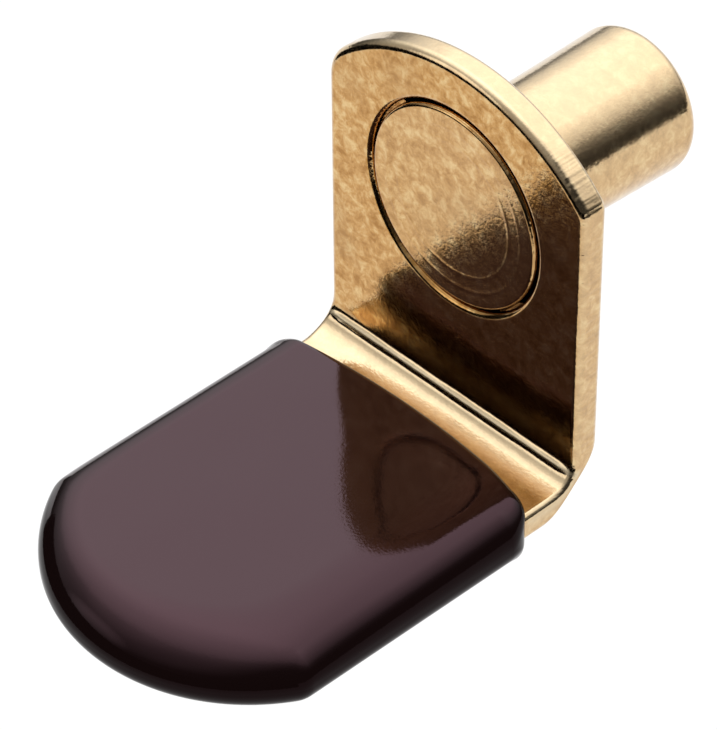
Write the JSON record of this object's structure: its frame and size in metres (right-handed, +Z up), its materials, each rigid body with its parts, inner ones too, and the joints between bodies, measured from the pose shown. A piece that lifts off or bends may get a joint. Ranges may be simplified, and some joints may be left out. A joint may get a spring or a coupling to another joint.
{
  "type": "shelf support pin",
  "caption": "L-shaped shelf support: arched plate with a round pin behind it for a drilled hole, and a tongue in a dipped vinyl sleeve that carries the shelf.",
  "frame": {"origin": "on the pin's axis, at the plate's back face", "axes": "+Y along the pin into the cabinet side, +Z up, the tongue reaches out along -Y"},
  "size_m": [0.0152, 0.0301, 0.0189],
  "materials": {
    "brass_plate": "polished brass plating on steel",
    "vinyl": "glossy dipped plasticised vinyl"
  },
  "bodies": {
    "root": {"bracket": "brass_plate", "pin": "brass_plate", "sleeve": "vinyl"}
  },
  "joints": []
}
